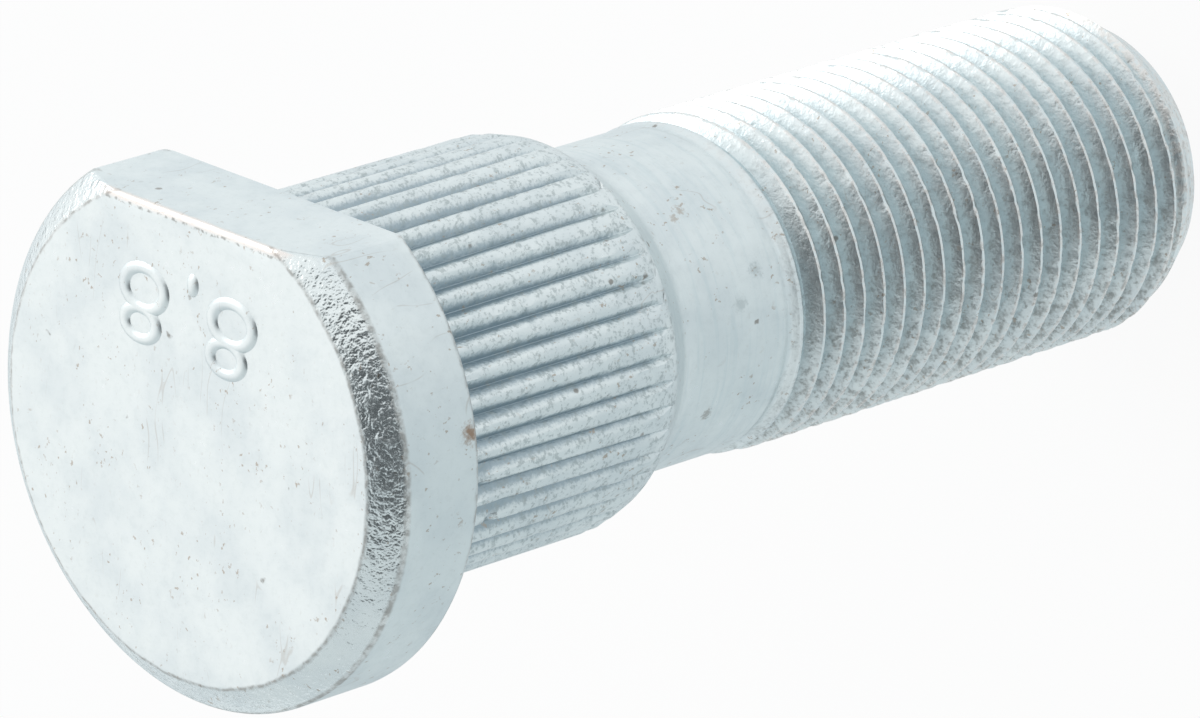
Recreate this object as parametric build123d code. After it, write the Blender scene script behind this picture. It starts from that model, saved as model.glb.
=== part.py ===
from build123d import *
import math
import os

# Head: a disc with a bevelled face, and one flat on its rim that stops the bolt turning in the hub.
head_diameter = 28.4
head_thickness = 6.4
face_diameter = 25.2
bevel_height = 1.45
bevel_crown = 0.08
bevel_rounding = 0.3
rim_rounding = 0.4
flat_distance = 11.4

# Knurled collar under the head, pressed into the hub. Its V grooves get shallower toward the tapered end.
knurl_diameter = 20.9
knurl_length = 16.7
plain_length = 0.4
groove_count = 48
groove_angle = 84
groove_depth_at_head = 0.48
groove_depth_at_end = 0.3
lead_length = 1.1
lead_drop = 0.3
taper_length = 2.3
neck_rounding = 2.5

# Neck: the plain blank that the thread is rolled on, 60 mm from the seat to the end in all.
neck_diameter = 17.2
shank_length = 60
runout_distance = 26.3
runout_length = 1.6

# Thread, kept as its outer cylinder, with the chamfered end that starts a nut.
thread_diameter = 18
end_diameter = 15.1
end_chamfer_angle = 30

# Radii, and heights above the end of the thread.
head_radius = head_diameter / 2
face_radius = face_diameter / 2
knurl_radius = knurl_diameter / 2
neck_radius = neck_diameter / 2
thread_radius = thread_diameter / 2
end_radius = end_diameter / 2
seat_height = shank_length
face_height = seat_height + head_thickness
knurl_foot = seat_height - knurl_length
lead_foot = knurl_foot - lead_length
taper_foot = lead_foot - taper_length
runout_top = seat_height - runout_distance
thread_top = runout_top - runout_length
chamfer_height = (thread_radius - end_radius) / math.tan(math.radians(end_chamfer_angle))


def turned_blank():
    """Half section turned about the axis: head, collar, neck, thread cylinder and chamfered end."""
    face_edge = (face_radius, face_height)
    bevel_foot = (head_radius, face_height - bevel_height)
    seat_edge = (head_radius, seat_height)
    neck_top = (neck_radius, taper_foot)
    with BuildSketch(Plane.XZ) as section:
        with BuildLine():
            Line((0, face_height), face_edge)
            SagittaArc(face_edge, bevel_foot, -bevel_crown)
            Polyline(
                bevel_foot,
                seat_edge,
                (knurl_radius, seat_height),
                (knurl_radius, knurl_foot),
                (knurl_radius - lead_drop, lead_foot),
                neck_top,
                (neck_radius, runout_top),
                (thread_radius, thread_top),
                (thread_radius, chamfer_height),
                (end_radius, 0),
                (0, 0),
                (0, face_height),
            )
        make_face()
        for corner, rounding in (
            (face_edge, bevel_rounding),
            (bevel_foot, bevel_rounding),
            (seat_edge, rim_rounding),
            (neck_top, neck_rounding),
        ):
            nearest = section.vertices().sort_by_distance(Vector(*corner))[0]
            fillet(nearest, rounding)
    return revolve(section.sketch, Axis.Z)


def head_offcut():
    """Block that lies outside the flat, as tall as the head."""
    width = head_diameter + 2
    depth = head_radius - flat_distance + 1
    middle = (seat_height + face_height) / 2
    return Pos(flat_distance + depth / 2, 0, middle) * Box(depth, width, head_thickness)


def knurl_groove():
    """Wedge for one V groove, pushed along the collar on a line that rises out of it toward the neck."""
    over = 0.3
    start = seat_height - plain_length
    deep = knurl_radius - groove_depth_at_head
    top = knurl_radius + over
    half_width = (top - deep) * math.tan(math.radians(groove_angle / 2))
    rise = (groove_depth_at_head - groove_depth_at_end) / knurl_length
    with BuildSketch(Plane.XY.offset(start)) as wedge:
        with BuildLine():
            Polyline((deep, 0), (top, half_width), (top, -half_width), close=True)
        make_face()
    reach = start - taper_foot
    return extrude(wedge.sketch, amount=reach * math.hypot(1, rise), dir=(rise, 0, -1))


def wheel_bolt():
    """The whole bolt, standing on the end of its thread with the flat facing +X."""
    groove = knurl_groove()
    grooves = [place * groove for place in PolarLocations(0, groove_count)]
    return turned_blank() - head_offcut() - grooves


os.makedirs("parts", exist_ok=True)
export_step(wheel_bolt(), "parts/wheel_bolt.step")
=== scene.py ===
import math
import bpy
import bmesh
from mathutils import Matrix, Vector, noise


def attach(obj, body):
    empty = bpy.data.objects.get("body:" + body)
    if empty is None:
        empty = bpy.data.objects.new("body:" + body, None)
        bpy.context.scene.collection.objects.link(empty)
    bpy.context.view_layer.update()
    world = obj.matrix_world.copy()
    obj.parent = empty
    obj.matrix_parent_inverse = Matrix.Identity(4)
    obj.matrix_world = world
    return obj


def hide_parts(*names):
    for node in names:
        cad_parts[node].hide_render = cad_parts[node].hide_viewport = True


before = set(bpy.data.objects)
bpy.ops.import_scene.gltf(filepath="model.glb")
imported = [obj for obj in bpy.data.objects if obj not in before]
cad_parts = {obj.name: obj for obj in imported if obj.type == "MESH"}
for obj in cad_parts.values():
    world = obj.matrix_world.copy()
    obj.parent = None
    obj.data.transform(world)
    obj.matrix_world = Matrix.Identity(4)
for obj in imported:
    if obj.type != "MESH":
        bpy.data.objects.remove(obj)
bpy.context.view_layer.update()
scene = bpy.context.scene
scene.view_settings.view_transform = "Standard"
mm = 0.001          # shapes are drawn in millimetres and scaled when the mesh is whole
seatHeight = 60     # underside of the head, above the end of the thread
teeth = 48          # of the knurl
perTooth = 6        # columns to each tooth
columns = teeth * perTooth
weldNear = 0.001    # corners this close are one
sewNear = 0.004     # and this close where shells are joined
sharpAngle = 38     # edges that bend more stay sharp
print("frame loaded")


def between(value, low, high):
    # smooth step from 0 to 1
    share = min(max((value - low) / (high - low), 0), 1)
    return share * share * (3 - 2 * share)


def rounded(points, radii, steps=4):
    # a line of (radius, height) points with arcs at the corners that have a rounding
    line = []
    for i, point in enumerate(points):
        radius = radii.get(i, 0)
        if not radius:
            line.append(point)
            continue
        corner = Vector(point)
        back = (Vector(points[i - 1]) - corner).normalized()
        ahead = (Vector(points[i + 1]) - corner).normalized()
        half = back.angle(ahead) / 2
        start = corner + back * (radius / math.tan(half))
        end = corner + ahead * (radius / math.tan(half))
        middle = corner + (back + ahead).normalized() * (radius / math.sin(half))
        for k in range(steps + 1):
            spoke = (start - middle).lerp(end - middle, k / steps).normalized() * radius
            line.append(tuple(middle + spoke))
    return line


def drawLine(bm, points):
    verts = [bm.verts.new((r, 0, z)) for r, z in points]
    return verts + [bm.edges.new(pair) for pair in zip(verts, verts[1:])]


def turn(bm, points):
    bmesh.ops.spin(bm, geom=drawLine(bm, points), cent=(0, 0, 0), axis=(0, 0, 1),
                   angle=math.tau, steps=columns, use_merge=True)


def cutBeyond(bm, place, facing, snap=0.0):
    # takes off what lies beyond a plane and gives back the edges of the cut
    cut = bmesh.ops.bisect_plane(bm, geom=bm.verts[:] + bm.edges[:] + bm.faces[:], dist=snap,
                                 plane_co=place, plane_no=facing, clear_outer=True)
    return [e for e in cut["geom_cut"] if isinstance(e, bmesh.types.BMEdge)]


def angleOf(v):
    return math.atan2(v.co.y, v.co.x) % math.tau


def putAt(v, radius, angle):
    v.co.x, v.co.y = radius * math.cos(angle), radius * math.sin(angle)


thread = {
    "pitch": 1.5,
    "crestRadius": 8.97,
    "rootRadius": 8.08,
    "neckRadius": 8.6,
    "crestAtFlat": 12.48,   # height of a crest over the flat's side
    "crestHalf": 0.065,     # half width of a crest, as a share of the pitch
    "crown": 0.012,         # how far a crest's edge drops
    "crownHalf": 0.06,
    "fullBelow": 30.2,      # full depth under this height, none over the next
    "noneAbove": 32.9,
    "joinHeight": 34.4,     # where the neck is sewn on
    "endRadius": 7.55,
    "endInset": 0.35,
    "chamfer": 30,
    "overLow": 1.6,         # rolled past both ends, then cut
    "overHigh": 0.2,
    "waviness": 0.012,
    "waveScale": 0.6,
    "raggedness": 0.065,    # bites out of the crests
    "raggedScales": (1.5, 3.4),
    "raggedFrom": (0.0, 0.8),
    "crestFade": (0.06, 0.2),
    "hollowFrom": 0.3,      # the hollows' shading starts above the chamfer
    "hollowFade": (2.2, 2.9),
    "rowPhases": (0, 0.055, 0.1, 0.25, 0.4, 0.5, 0.6, 0.75, 0.9, 0.945),
}


def threadRadius(phase):
    side = min(phase, 1 - phase)
    depth = thread["crestRadius"] - thread["rootRadius"]
    drop = max(0, side - thread["crestHalf"]) * thread["pitch"] * math.sqrt(3)
    crown = thread["crown"] * between(side, 0, thread["crownHalf"])
    return thread["crestRadius"] - min(drop, depth) - crown


def rollThread(bm):
    # rows follow the helix, so a crest is one unbroken line
    pitch, base = thread["pitch"], thread["crestAtFlat"]
    first = math.floor((-thread["overLow"] - base) / pitch) - 1
    last = math.ceil((thread["joinHeight"] + thread["overHigh"] - base) / pitch) + 1
    heights = [base + (k + p) * pitch for k in range(first, last) for p in thread["rowPhases"]]
    line = drawLine(bm, [(thread["neckRadius"], h) for h in heights])
    bmesh.ops.spin(bm, geom=line, cent=(0, 0, 0), axis=(0, 0, 1), dvec=(0, 0, pitch / columns),
                   angle=math.tau, steps=columns)
    bmesh.ops.remove_doubles(bm, verts=bm.verts, dist=weldNear)
    slope = math.tan(math.radians(thread["chamfer"]))
    fade = thread["noneAbove"] - thread["fullBelow"]
    for v in bm.verts:
        angle, height = angleOf(v), v.co.z
        phase = ((height - base) / pitch - angle / math.tau) % 1
        share = min(max((thread["noneAbove"] - height) / fade, 0), 1)
        radius = thread["neckRadius"] + (threadRadius(phase) - thread["neckRadius"]) * share
        crest = 1 - between(min(phase, 1 - phase), *thread["crestFade"])
        large, small = (noise.noise(v.co * scale) for scale in thread["raggedScales"])
        bite = crest * thread["raggedness"] * between(large + 0.5 * small, *thread["raggedFrom"])
        radius += share * (thread["waviness"] * noise.noise(v.co * thread["waveScale"]) - bite)
        putAt(v, min(radius, thread["endRadius"] + max(height, 0) * slope), angle)
    cutBeyond(bm, (0, 0, 0), (0, 0, -1))
    cutBeyond(bm, (0, 0, thread["joinHeight"]), (0, 0, 1))
    foot = [e for e in bm.edges if e.is_boundary and all(abs(v.co.z) < weldNear for v in e.verts)]
    cap = bmesh.ops.contextual_create(bm, geom=foot)["faces"]
    bmesh.ops.inset_region(bm, faces=cap, thickness=thread["endInset"])
    # the cut's extra corners go onto the nearest column, so the neck can be sewn on
    rim = {v for e in bm.edges if e.is_boundary for v in e.verts}
    byColumn, extra = {}, []
    for v in rim:
        place = angleOf(v) / math.tau * columns
        column = round(place) % columns
        if abs(place - round(place)) < 0.002 and column not in byColumn:
            byColumn[column] = v
        else:
            extra.append((v, column))
    bmesh.ops.weld_verts(bm, targetmap={v: byColumn[k] for v, k in extra})
    print("thread rolled", len(byColumn), "columns at the neck,", len(extra), "sewn")


collar = {
    "radius": 10.45,
    "grooveStart": 59.6,
    "startLength": 0.15,
    "depthAtHead": 0.6,
    "depthAtEnd": 0.28,
    "depthLeast": 0.002,
    "foot": 43.3,
    "grooveHalfAngle": 44,
    "floorHalf": 0.015,
    "turnedBy": -0.9,      # degrees, puts the grooves where the photo has them
    "edgeSoftening": 0.035,
    "edgeWidth": 0.06,
    "topLeast": 0.415,     # where a tooth's top ends, as a share of the spacing
    "topMost": 0.48,
    "nickDepth": 0.14,
    "nickScales": (1.1, 2.7),
    "nickFrom": (0.3, 0.95),
    "gougeDepth": 0.22,
    "gouges": (
        # radius, height, degrees round the axis, reach
        (10.4, 55.8, -96.6, 0.8),
        (10.4, 54.1, -109.7, 0.8),
        (10.4, 54.6, -114.2, 0.7),
        (10.4, 56.1, -101.7, 0.7),
    ),
    "upperRows": (60, 59.62, 59.52, 59.4, 59, 58),
    "middleRows": tuple(57.5 - 0.5 * k for k in range(26)),
    "lowerRows": (44.4, 43.9, 43.3),
    "lead": ((10.37, 43.0), (10.29, 42.7), (10.22, 42.45), (10.15, 42.2), (9.98, 41.95), (9.8, 41.7)),
    "taperFoot": 39.9,
    "neckRow": 36.5,
    "neckRounding": 2.6,
    "hollowFrom": 42.2,    # the part that is shaded as hollow
    "hollowTo": 59.7,
    "hollowWithin": 11,
    "hollowFade": (42.6, 44.5),
}


def grooveDepth(radius, height):
    rise = (collar["depthAtHead"] - collar["depthAtEnd"]) / (collar["grooveStart"] - collar["foot"])
    floorRadius = collar["radius"] - collar["depthAtHead"] + (collar["grooveStart"] - height) * rise
    start = 1 - between(height, collar["grooveStart"] - collar["startLength"], collar["grooveStart"])
    return max(0, radius - floorRadius) * start


def nickDepth(place):
    large, small = (noise.noise(place * scale) for scale in collar["nickScales"])
    nick = large + 0.6 * small
    depth = collar["nickDepth"] * between(nick, *collar["nickFrom"])
    for radius, height, degrees, reach in collar["gouges"]:
        angle = math.radians(degrees)
        spot = Vector((radius * math.cos(angle), radius * math.sin(angle), height))
        away = (place - spot).length + 0.3 * nick
        depth += collar["gougeDepth"] * (1 - between(away, 0.2 * reach, reach))
    return depth


def pressKnurl(verts):
    spread = math.tan(math.radians(collar["grooveHalfAngle"]))
    for v in verts:
        radius = math.hypot(v.co.x, v.co.y)
        depth = grooveDepth(radius, v.co.z)
        if v.co.z > collar["grooveStart"] or depth < collar["depthLeast"]:
            continue
        column = round(angleOf(v) / math.tau * columns) % columns
        k = column % perTooth
        middle = (column - k + 2.5) / columns * math.tau + math.radians(collar["turnedBy"])
        half = depth * spread
        wide = math.tau / teeth * radius
        if k in (2, 3):      # floor of the groove
            off, down = collar["floorHalf"], depth
        elif k in (1, 4):    # its edges
            off, down = half, collar["edgeSoftening"] * min(1, depth * 4) + nickDepth(v.co)
        else:                # tops of the teeth
            off = max(half + collar["edgeWidth"], wide * collar["topLeast"])
            off, down = min(off, wide * collar["topMost"]), nickDepth(v.co)
        side = -1 if k < 3 else 1
        putAt(v, radius - down, middle + side * off / collar["radius"])


def makeCollar(bm):
    before = set(bm.verts)
    rows = collar["upperRows"] + collar["middleRows"] + collar["lowerRows"]
    section = [(collar["radius"], row) for row in rows] + list(collar["lead"])
    neck = thread["neckRadius"]
    taper = [collar["lead"][-1], (neck, collar["taperFoot"]), (neck, collar["neckRow"])]
    section += rounded(taper, {1: collar["neckRounding"]}, steps=8)[1:]
    section += [(neck, thread["joinHeight"])]
    turn(bm, section)
    pressKnurl([v for v in bm.verts if v not in before and v.co.z < seatHeight - 0.01])
    print("collar knurled")


head = {
    "radius": 14.19,
    "faceRadius": 12.6,
    "faceHeight": 66.23,
    "faceRings": (0, 4, 8, 11),
    "bevelFoot": 64.95,
    "bevelCrown": (0.05, 0.055),
    "rimRow": 62.5,
    "seatRing": 12,
    "rounding": {4: 0.5, 6: 0.5, 8: 0.4},   # by point of the section
    "flat": 11.4,
    "wear": 0.3,                            # rounding of the flat's front edge
    "wearTilts": (20, 45, 70),
    "cornerPlace": (7.0, 65.64),            # where flat, bevel and face edge meet: y and height
    "cornerFacing": (1.574, 0.345, 0.74),
    "cornerWear": 0.05,
    "rimWear": 0.035,
}


def sliceHead(bm, place, facing):
    bmesh.ops.contextual_create(bm, geom=cutBeyond(bm, place, facing, 0.0005))


def makeHead(bm):
    radius, flat, wear, top = head["radius"], head["flat"], head["wear"], head["faceHeight"]
    face, foot = (head["faceRadius"], top), (radius, head["bevelFoot"])
    crown = (Vector(face) + Vector(foot)) / 2 + Vector(head["bevelCrown"])
    section = [(ring, top) for ring in head["faceRings"]] + [face, tuple(crown), foot]
    section += [(radius, head["rimRow"]), (radius, seatHeight)]
    section += [(head["seatRing"], seatHeight), (collar["radius"], seatHeight)]
    turn(bm, rounded(section, head["rounding"]))
    bmesh.ops.remove_doubles(bm, verts=bm.verts, dist=weldNear)
    sliceHead(bm, (flat, 0, 0), (1, 0, 0))
    # the flat's edges are worn: its front edge, then its corners with the bevel and the rim
    middle = Vector((flat - wear, 0, top - wear))
    for tilt in head["wearTilts"]:
        facing = Vector((math.cos(math.radians(tilt)), 0, math.sin(math.radians(tilt))))
        sliceHead(bm, middle + facing * wear, facing)
    corner = math.acos(flat / radius)
    for side in (-1, 1):
        out, across, up = head["cornerFacing"]
        facing = Vector((out, across * side, up)).normalized()
        y, height = head["cornerPlace"]
        sliceHead(bm, Vector((flat, y * side, height)) - facing * head["cornerWear"], facing)
        facing = Vector((math.cos(corner / 2), math.sin(corner / 2) * side, 0))
        edge = Vector((flat, radius * math.sin(corner) * side, 0))
        sliceHead(bm, edge - facing * head["rimWear"], facing)
    print("head turned and its flat cut")


# raised strength number on the face, read with the flat at the bottom
mark = {
    "top": 66.395,
    "tube": 0.62,
    "tubeSides": 14,
    "ringSteps": 44,
    "rings": (
        # middle along x, middle along y, half length along x, half width along y
        (6.9, 3.2, 1.06, 1.4),
        (5.06, 3.4, 0.8, 1.12),
        (6.75, -3.0, 1.06, 1.4),
        (4.9, -2.65, 0.8, 1.12),
    ),
    "dot": (8.0, -0.2, 1.2, 0.7),   # middle, radius, narrowing along y
    "dotSides": (28, 20),
}


def raiseMark(bm):
    low = mark["top"] - mark["tube"]
    upright = Matrix.Rotation(math.pi / 2, 3, "X")
    for x, y, long, wide in mark["rings"]:
        ring = bmesh.ops.create_circle(bm, segments=mark["tubeSides"], radius=mark["tube"])["verts"]
        bmesh.ops.rotate(bm, verts=ring, cent=(0, 0, 0), matrix=upright)
        bmesh.ops.translate(bm, verts=ring, vec=(wide, 0, 0))
        before = set(bm.verts) - set(ring)
        loop = ring + [e for e in bm.edges if e.verts[0] in ring and e.verts[1] in ring]
        bmesh.ops.spin(bm, geom=loop, cent=(0, 0, 0), axis=(0, 0, 1), angle=math.tau,
                       steps=mark["ringSteps"], use_merge=True)
        made = [v for v in bm.verts if v not in before]
        bmesh.ops.scale(bm, verts=made, vec=(long / wide, 1, 1))
        bmesh.ops.translate(bm, verts=made, vec=(x, y, low))
    x, y, size, narrow = mark["dot"]
    around, upward = mark["dotSides"]
    dot = bmesh.ops.create_uvsphere(bm, u_segments=around, v_segments=upward, radius=size)["verts"]
    bmesh.ops.scale(bm, verts=dot, vec=(1, narrow, 1))
    bmesh.ops.translate(bm, verts=dot, vec=(x, y, mark["top"] - size))
    print("number raised on the face")


def addShell(bm, shell, name):
    # moves one bmesh into another
    spare = bpy.data.meshes.new(name)
    shell.to_mesh(spare)
    shell.free()
    bm.from_mesh(spare)
    bpy.data.meshes.remove(spare)


def makeBolt():
    bm, shank, digits = bmesh.new(), bmesh.new(), bmesh.new()
    makeHead(bm)
    rollThread(shank)
    makeCollar(shank)
    addShell(bm, shank, "shank")
    bmesh.ops.remove_doubles(bm, verts=bm.verts, dist=sewNear)
    bmesh.ops.recalc_face_normals(bm, faces=bm.faces)
    print("open edges", sum(e.is_boundary for e in bm.edges))
    raiseMark(digits)
    bmesh.ops.recalc_face_normals(digits, faces=digits.faces)
    addShell(bm, digits, "digits")
    bmesh.ops.scale(bm, verts=bm.verts, vec=(mm, mm, mm))
    mesh = bpy.data.meshes.new("wheelBolt")
    bm.to_mesh(mesh)
    bm.free()
    mesh.shade_smooth()
    mesh.set_sharp_from_angle(angle=math.radians(sharpAngle))
    bolt = bpy.data.objects.new("wheelBolt", mesh)
    scene.collection.objects.link(bolt)
    even = bolt.modifiers.new("evenShading", "WEIGHTED_NORMAL")
    even.keep_sharp = True
    print("bolt made,", sum(len(p.vertices) - 2 for p in mesh.polygons), "triangles")
    return bolt


bolt = makeBolt()
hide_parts("wheel_bolt")
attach(bolt, "root")


def markHollows(mesh):
    # 0 on crests and plain metal, 1 at the bottom of the thread and the knurl
    hollow = mesh.attributes.new("hollow", "FLOAT", "POINT")
    depth = thread["crestRadius"] - thread["rootRadius"]
    for v in mesh.vertices:
        x, y, z = (c / mm for c in v.co)
        radius = math.hypot(x, y)
        value = 0
        if thread["hollowFrom"] < z < thread["noneAbove"]:
            value = (thread["crestRadius"] - radius) / depth * between(z, *thread["hollowFade"])
            value *= 1 - between(z, thread["fullBelow"], thread["noneAbove"])
        elif collar["hollowFrom"] < z < collar["hollowTo"] and radius < collar["hollowWithin"]:
            value = (collar["radius"] - radius) / collar["depthAtHead"] * between(z, *collar["hollowFade"])
        hollow.data[v.index].value = min(max(value, 0), 1)
    print("hollows marked")


markHollows(bolt.data)


class Wire:
    # a shader socket that takes part in sums
    def __init__(self, board, socket):
        self.board, self.socket = board, socket

    def __add__(self, other):
        return self.board.maths("ADD", self, other)

    def __radd__(self, other):
        return self.board.maths("ADD", other, self)

    def __sub__(self, other):
        return self.board.maths("SUBTRACT", self, other)

    def __rsub__(self, other):
        return self.board.maths("SUBTRACT", other, self)

    def __mul__(self, other):
        return self.board.maths("MULTIPLY", self, other)

    def __rmul__(self, other):
        return self.board.maths("MULTIPLY", other, self)

    def __abs__(self):
        return self.board.maths("ABSOLUTE", self)


class Board:
    # a node tree and the few nodes used here
    def __init__(self, owner):
        owner.use_nodes = True
        self.tree = owner.node_tree
        self.tree.nodes.clear()

    def node(self, kind, settings, sockets, output=0):
        made = self.tree.nodes.new("ShaderNode" + kind)
        for name, value in settings.items():
            setattr(made, name, value)
        for name, value in sockets.items():
            if isinstance(value, Wire):
                self.tree.links.new(value.socket, made.inputs[name])
            else:
                made.inputs[name].default_value = value
        return Wire(self, made.outputs[output]) if made.outputs else made

    def maths(self, operation, *values):
        return self.node("Math", {"operation": operation}, dict(enumerate(values)))

    def most(self, first, *others):
        for other in others:
            first = self.maths("MAXIMUM", first, other)
        return first

    def ramp(self, value, low, high, start=0, end=1):
        # smooth step from start to end
        return self.node("MapRange", {"interpolation_type": "SMOOTHSTEP"},
                         {"Value": value, "From Min": low, "From Max": high, "To Min": start, "To Max": end})

    def mixColour(self, share, a, b):
        return self.node("Mix", {"data_type": "RGBA"}, {0: share, 6: a, 7: b}, 2)

    def speckle(self, place, scale, detail=2, rough=0.5, stretch=(1, 1, 1), tilt=(0, 0, 0)):
        moved = self.node("Mapping", {}, {"Vector": place, "Scale": stretch, "Rotation": tilt})
        return self.node("TexNoise", {},
                         {"Vector": moved, "Scale": scale, "Detail": detail, "Roughness": rough})


# bright zinc plating on steel
zincFinish = {
    "clean": (0.80, 0.86, 0.87, 1),
    "cloudy": (0.745, 0.81, 0.83, 1),
    "bareSteel": (0.88, 0.84, 0.81, 1),
    # colour of the dirt and of the painted shade at the thread's roots
    "dirtAndRootShade": (0.27, 0.25, 0.225, 1),
    "tan": (0.46, 0.40, 0.34, 1),
    "rust": (0.30, 0.17, 0.09, 1),
    # painted shade: darker, bluer tint for the thread's hollows, also used for the neck's rolling marks
    "hollowShadeAndRollTint": (0.60, 0.71, 0.745, 1),
    # painted shade: dark blue tint for the knurl's grooves
    "grooveShadeTint": (0.27, 0.36, 0.42, 1),
    "mottle": (0.44, 0.50, 0.51, 1),
    "roughness": 0.36,
    "roughLeast": 0.18,
    "roughMost": 0.75,
    # scales of the noise, from large clouds to fine grains
    "cloudScale": 260,
    "blotchScale": 900,
    "coarseScale": 2100,
    "grainScale": 5200,
    # heights over which one part of the bolt gives way to the next
    "threadTop": (31.0, 32.8),
    "neckTop": (41.0, 42.0),
    "knurlFoot": (41.2, 42.8),
    "knurlTop": (59.5, 59.8),
    "seat": (59.8, 60.05),
    "bevelFoot": (64.6, 65.1),
    # radii and heights of the head's worn edges
    "faceEdge": 12.62,
    "rimEdge": (14.08, 64.9),
    "seatEdge": (14.1, 60.15),
    "flatEdge": (11.3, 66.2),
    "flatLine": 10.98,
    # how strongly each tint, the painted shade and each kind of dirt shows
    "hollowShadeShare": 0.6,
    "grooveShadeShare": 0.75,
    "rolledShare": 0.28,
    "mottleShare": (0.05, 0.6, 0.4),    # everywhere, more on the knurl, more on the thread
    "crestShare": 0.6,
    "fleckShare": 0.8,
    "scratchShare": 0.3,
    "flankDirt": 0.42,
    "rootShadeShare": 0.45,
    "crestDirt": 0.26,
    "wornDirt": 0.6,
    "pitDirt": 0.75,
    # bump in millimetres, the last two everywhere, more on the teeth, more on the bevel
    "cloudBump": 0.04,
    "blotchBump": 0.012,
    "flatBump": 0.02,
    "coarseBump": (0.010, 0.035, 0.11),
    "grainBump": (0.003, 0.014, 0.02),
    "pitScale": 700,
    "darkerSide": (-0.961, -0.276),   # the way to the photo's lower side
    "spots": (
        # place, reach in millimetres, strength, finish
        ((2.95, -13.88, 60.6), 0.75, 0.85, "rust"),     # rust at the seat's edge
        ((6.83, -5.23, 37.3), 0.35, 0.6, "tan"),        # scrapes and dents on the neck
        ((6.65, -5.45, 37.9), 0.3, 0.6, "tan"),
        ((2.32, -8.28, 35.8), 0.6, 0.5, "mottle"),
        ((3.71, -7.76, 34.2), 0.55, 0.5, "mottle"),
        ((-3.24, -7.97, 37.6), 0.45, 0.6, "dirtAndRootShade"),
        ((-2.6, -8.2, 41.6), 0.4, 0.6, "dirtAndRootShade"),
        ((-1.79, -8.62, 15.55), 0.4, 0.85, "dirtAndRootShade"),     # pits in the thread
        ((-2.71, -8.37, 11.1), 0.35, 0.85, "dirtAndRootShade"),
        ((0.3, -8.79, 27.8), 0.45, 0.85, "dirtAndRootShade"),
    ),
}


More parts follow.
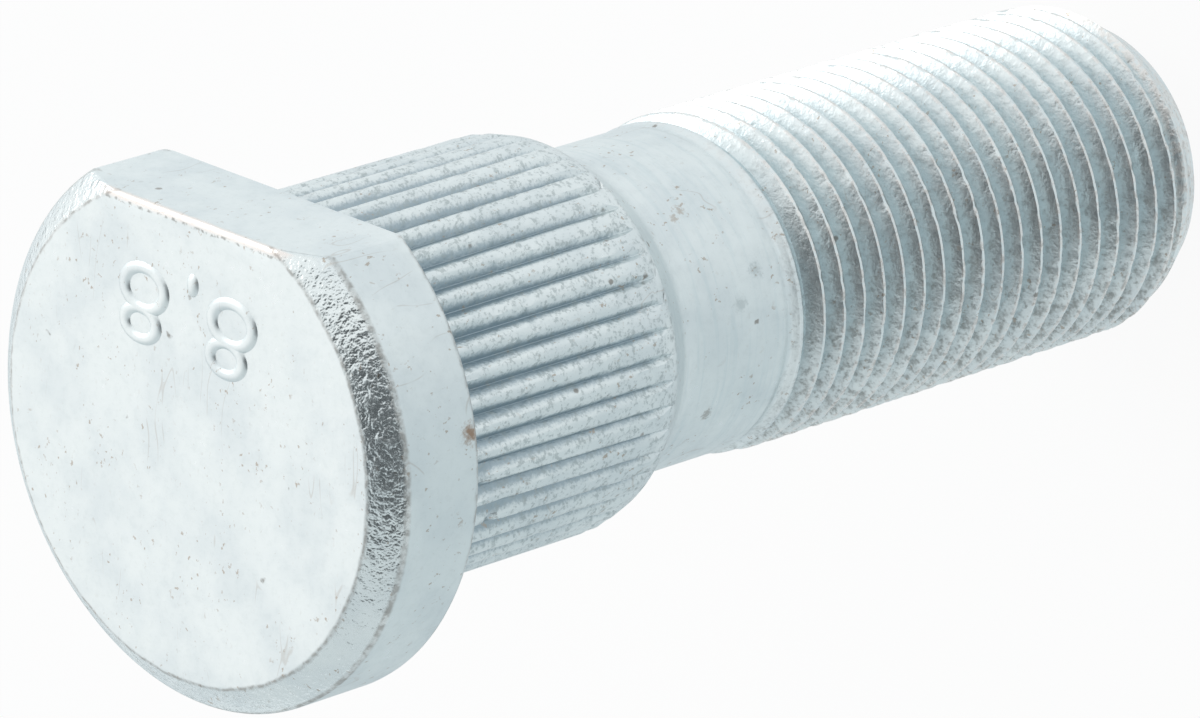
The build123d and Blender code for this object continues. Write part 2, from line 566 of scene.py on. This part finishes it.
def makeZinc():
    material = bpy.data.materials.new("zincPlate")
    finish = zincFinish
    b = Board(material)
    place = b.node("TexCoord", {}, {}, "Object")
    x, y, z = (b.node("SeparateXYZ", {}, {"Vector": place}, axis) * 1000 for axis in "XYZ")
    radius = b.maths("SQRT", x * x + y * y)
    hollow = b.node("Attribute", {"attribute_name": "hollow"}, {}, "Fac")

    cloud = b.speckle(place, finish["cloudScale"], 2, 0.6)
    blotch = b.speckle(place, finish["blotchScale"], 2, 0.6)
    coarse = b.speckle(place, finish["coarseScale"], 2, 0.65)
    grain = b.speckle(place, finish["grainScale"], 2, 0.65)

    # where things are on the bolt
    onHead = b.ramp(z, *finish["seat"])
    onThread = 1 - b.ramp(z, *finish["threadTop"])
    onKnurl = b.ramp(z, *finish["knurlFoot"]) * (1 - b.ramp(z, *finish["knurlTop"]))
    onTeeth = b.most(onThread, onKnurl)
    onNeck = (1 - onTeeth) * (1 - b.ramp(z, *finish["neckTop"]))
    onBevel = b.ramp(radius, 12.45, 12.8) * b.ramp(z, *finish["bevelFoot"]) * (1 - b.ramp(x, 11.3, 11.38))
    onFlat = onHead * b.ramp(x, 11.3, 11.39)

    # thin worn lines at the edges of the head
    def nearEdge(along, edge, stray, core, reach):
        return 1 - b.ramp(abs(along - edge[0]) + abs(z - edge[1] + stray), core, reach)

    wander = (blotch - 0.5) * 0.3
    faceEdge = 1 - b.ramp(abs(radius - finish["faceEdge"] + wander), 0.0, 0.16)
    faceEdge = faceEdge * b.ramp(z, 65.9, 66.1)
    rimEdge = nearEdge(radius, finish["rimEdge"], wander * 0.6, 0.1, 0.34)
    seatEdge = nearEdge(radius, finish["seatEdge"], wander, 0.05, 0.4)
    flatAway = abs(x - finish["flatEdge"][0]) + abs(z - finish["flatEdge"][1])
    flatEdge = onHead * (1 - b.ramp(flatAway + (coarse - 0.5) * 0.2, 0.16, 0.42))
    flatLine = onHead * (1 - b.ramp(abs(x - finish["flatLine"] + wander * 0.7), 0.03, 0.12))
    flatLine = flatLine * b.ramp(z, 66.1, 66.2)
    worn = b.most(faceEdge, rimEdge, seatEdge) * b.ramp(coarse, 0.40, 0.62, 0.4, 1)
    worn = b.most(worn, flatLine * b.ramp(coarse, 0.45, 0.62))

    # tan flecks in loose clusters, and a few dark pits
    fleck = b.ramp(b.speckle(place, 2700, 3, 0.6, (1, 1.3, 0.8), (0.5, 0.9, 0.3)), 0.63, 0.69)
    fleck = fleck * b.ramp(b.speckle(place, 520, 1, 0.5), 0.44, 0.60, 0.1, 1)
    pitCells = {"Vector": place, "Scale": finish["pitScale"]}
    pitAway = b.node("TexVoronoi", {}, pitCells, "Distance")
    pitPick = b.node("SeparateColor", {}, {"Color": b.node("TexVoronoi", {}, pitCells, "Color")}, "Green")
    pit = (1 - b.ramp(pitAway + (coarse - 0.5) * 0.4, 0.04, 0.14)) * b.ramp(pitPick, 0.88, 0.90)

    # a few long fine scratches, and rolling marks round the neck
    line = b.speckle(place, 240, 1, 0.45, (0.5, 2.4, 0.5), (0.3, 0.5, 0.9))
    scratch = (1 - b.ramp(abs(line - 0.5), 0.001, 0.006)) * b.ramp(cloud, 0.54, 0.62)
    rolled = b.speckle(place, 2600, 2, 0.6, (0.08, 0.08, 1))

    # dirt on the thread beside the crests and on the crests, the thread darker towards the lower side, and
    # painted shade at the root
    toward = x * finish["darkerSide"][0] + y * finish["darkerSide"][1]
    lower = b.ramp(toward, -2, 8.5)
    # the thread's dirt and mottle grow towards the lower side
    darkerSideWeight = b.ramp(toward, -7, 2, 0.3, 1)
    flank = b.ramp(hollow, 0.05, 0.3) * (1 - b.ramp(hollow, 0.5, 0.85))
    soil = (blotch - 0.5) * 0.5 + (coarse - 0.5) * 0.6 + (grain - 0.5) * 0.5 + lower * 0.15
    onFlanks = onThread * flank * darkerSideWeight * b.ramp(soil, 0.0, 0.3, 0, finish["flankDirt"])
    # painted shade: even darkening at the bottom of every thread root
    shadeAtRoot = onThread * b.ramp(hollow, 0.88, 1.0, 0, finish["rootShadeShare"])
    onCrests = onThread * darkerSideWeight * (1 - b.ramp(hollow, 0.1, 0.2))
    onCrests = onCrests * b.ramp(coarse + (grain - 0.5) * 0.6, 0.52, 0.68, 0, finish["crestDirt"])
    # dirt, wear, pits and the painted root shade in one mask
    grimeAndRootShade = b.most(onFlanks, shadeAtRoot, onCrests, worn * finish["wornDirt"], pit * finish["pitDirt"])

    colour = b.mixColour(b.ramp(cloud, 0.38, 0.66), finish["clean"], finish["cloudy"])
    # painted shade: the thread's hollows tinted darker and bluer by their depth
    hollowShade = b.ramp(hollow, 0.12, 0.8) * onThread * finish["hollowShadeShare"]
    colour = b.mixColour(hollowShade, colour, finish["hollowShadeAndRollTint"])
    # painted shade: the knurl's grooves darkened by their depth
    grooveShade = b.ramp(hollow + (grain - 0.5) * 0.5, 0.10, 0.6) * onKnurl * finish["grooveShadeShare"]
    colour = b.mixColour(grooveShade, colour, finish["grooveShadeTint"])
    rolledOn = onNeck * b.ramp(rolled, 0.48, 0.7, 0, finish["rolledShare"])
    colour = b.mixColour(rolledOn, colour, finish["hollowShadeAndRollTint"])
    plain, knurled, threaded = finish["mottleShare"]
    mottled = b.ramp(coarse * 0.5 + grain * 0.5, 0.50, 0.62)
    mottled = mottled * (plain + onKnurl * knurled + onThread * darkerSideWeight * threaded)
    colour = b.mixColour(mottled, colour, finish["mottle"])
    crest = (1 - b.ramp(hollow, 0.03, 0.14)) * onThread * b.ramp(coarse, 0.40, 0.56)
    colour = b.mixColour(b.most(crest * finish["crestShare"], flatEdge), colour, finish["bareSteel"])
    tanned = b.most(fleck * finish["fleckShare"], scratch * finish["scratchShare"])
    colour = b.mixColour(tanned, colour, finish["tan"])
    colour = b.mixColour(grimeAndRootShade, colour, finish["dirtAndRootShade"])
    ragged = (coarse - 0.5) * 0.9 + (grain - 0.5) * 0.9
    for spot, reach, share, tint in finish["spots"]:
        middle = [c * mm for c in spot]
        away = b.node("VectorMath", {"operation": "DISTANCE"}, {0: place, 1: middle}, "Value") * 1000
        mask = 1 - b.ramp(away + ragged, reach * 0.1, reach)
        colour = b.mixColour(mask * share, colour, finish[tint])

    rough = finish["roughness"] + (cloud - 0.5) * 0.2 + (coarse - 0.5) * 0.3
    rough = rough + grimeAndRootShade * 0.25 + hollow * 0.06 - onBevel * 0.12 - flatEdge * 0.06
    rough = b.maths("MINIMUM", b.most(rough, finish["roughLeast"]), finish["roughMost"])

    height = (cloud - 0.5) * finish["cloudBump"] + (blotch - 0.5) * finish["blotchBump"]
    for speck, bump in ((coarse, finish["coarseBump"]), (grain, finish["grainBump"])):
        plain, toothed, bevelled = bump
        height = height + (speck - 0.5) * (plain + onTeeth * toothed + onBevel * bevelled)
    height = height + onFlat * (blotch - 0.5) * finish["flatBump"]
    normal = b.node("Bump", {}, {"Height": height, "Distance": mm, "Strength": 1.0})
    metal = b.node("BsdfPrincipled", {}, {"Base Color": colour, "Metallic": 1 - grimeAndRootShade * 0.6,
                                          "Roughness": rough, "Normal": normal})
    b.node("OutputMaterial", {}, {"Surface": metal})
    print("zinc mixed")
    return material


bolt.data.materials.append(makeZinc())

studio = {
    "white": (1, 1, 1, 1),
    "floorSize": 3,
    "floorColour": (0.86, 0.87, 0.88, 1),
    # painted light on one side of the floor and painted shadow near the bolt on the other, glowing only for
    # the metal's reflections
    "floorMirroredLight": (0.955, 0.985, 0.995, 1),   # as the metal mirrors it, one side and the other
    "floorMirroredShadow": (0.68, 0.745, 0.765, 1),
    "mirroredLightSide": (0.961, 0.276),
    "floorWhiteness": 0.92,                    # as the camera sees it, the rest is shadow
    "roomGrey": (0.70, 0.745, 0.755, 1),
    "zones": (
        # toward, cosine at the soft edge and at the core, colour
        ((0.25, 0.85, 0.46), 0.3, 0.85, (1.10, 1.09, 1.08, 1)),
        ((0.9, -0.2, 0.55), 0.6, 0.95, (1.0, 1.01, 1.01, 1)),
        ((0.02, -0.6, 0.8), 0.79, 0.94, (0.10, 0.108, 0.112, 1)),
    ),
    "lampPlace": (0.35, 0.62, 0.42),
    "lampAim": (0, 0, 0.03),
    "lampSize": 0.5,
    "lampPower": 1.2,
}


def turnToward(place, aim):
    return (Vector(aim) - Vector(place)).to_track_quat("-Z", "Y")


def makeFloor():
    mesh = bpy.data.meshes.new("floor")
    bm = bmesh.new()
    bmesh.ops.create_grid(bm, x_segments=1, y_segments=1, size=studio["floorSize"])
    bm.to_mesh(mesh)
    bm.free()
    floor = bpy.data.objects.new("floor", mesh)
    scene.collection.objects.link(floor)
    material = bpy.data.materials.new("paperFloor")
    b = Board(material)
    place = b.node("TexCoord", {}, {}, "Object")
    x, y = (b.node("SeparateXYZ", {}, {"Vector": place}, axis) for axis in "XY")
    away = b.node("VectorMath", {"operation": "LENGTH"}, {0: place}, "Value")
    toward = x * studio["mirroredLightSide"][0] + y * studio["mirroredLightSide"][1]
    side = b.most(b.ramp(toward, -0.05, 0.06), b.ramp(away, 0.1, 0.3, 0, 0.75))
    matt = b.node("BsdfDiffuse", {}, {"Color": studio["floorColour"]})
    # painted light and painted shadow on the floor, shown only to the metal's reflections
    shown = b.node("Emission", {}, {"Color": b.mixColour(side, studio["floorMirroredShadow"], studio["floorMirroredLight"])})
    white = b.node("Emission", {}, {"Color": studio["white"]})
    mirrored = b.node("LightPath", {}, {}, "Is Glossy Ray")
    seen = b.node("LightPath", {}, {}, "Is Camera Ray")
    paper = b.node("MixShader", {}, {0: mirrored, 1: matt, 2: shown})
    paper = b.node("MixShader", {}, {0: seen * studio["floorWhiteness"], 1: paper, 2: white})
    b.node("OutputMaterial", {}, {"Surface": paper})
    mesh.materials.append(material)


def makeRoom():
    world = bpy.data.worlds.new("softRoom")
    scene.world = world
    b = Board(world)
    toward = b.node("TexCoord", {}, {}, "Generated")
    light = studio["roomGrey"]
    for middle, edge, core, colour in studio["zones"]:
        facing = b.node("VectorMath", {"operation": "DOT_PRODUCT"},
                        {0: toward, 1: Vector(middle).normalized()}, "Value")
        light = b.mixColour(b.ramp(facing, edge, core), light, colour)
    seen = b.node("LightPath", {}, {}, "Is Camera Ray")
    shown = b.mixColour(seen, light, studio["white"])
    b.node("OutputWorld", {}, {"Surface": b.node("Background", {}, {"Color": shown})})


def addLamp():
    data = bpy.data.lights.new("softLamp", "AREA")
    data.shape = "DISK"
    data.size = studio["lampSize"]
    data.energy = studio["lampPower"]
    lamp = bpy.data.objects.new("softLamp", data)
    lamp.location = studio["lampPlace"]
    lamp.rotation_euler = turnToward(studio["lampPlace"], studio["lampAim"]).to_euler()
    scene.collection.objects.link(lamp)


makeFloor()
makeRoom()
addLamp()
print("floor and light set")

# fitted to the photo's outline
view = {
    "place": (0.16923, -0.32206, 0.37741),
    "aim": (-0.00206, -0.0011, 0.03826),
    "roll": -107.436,
    "lens": 294.234,
    "sensorWidth": 36,
    "clipStart": 0.01,
}


def addCamera():
    data = bpy.data.cameras.new("camera")
    data.lens = view["lens"]
    data.sensor_width = view["sensorWidth"]
    data.sensor_fit = "HORIZONTAL"
    data.clip_start = view["clipStart"]
    camera = bpy.data.objects.new("camera", data)
    camera.location = view["place"]
    roll = Matrix.Rotation(math.radians(view["roll"]), 3, "Z")
    camera.rotation_euler = (turnToward(view["place"], view["aim"]).to_matrix() @ roll).to_euler()
    scene.collection.objects.link(camera)
    scene.camera = camera
    print("camera placed")


addCamera()
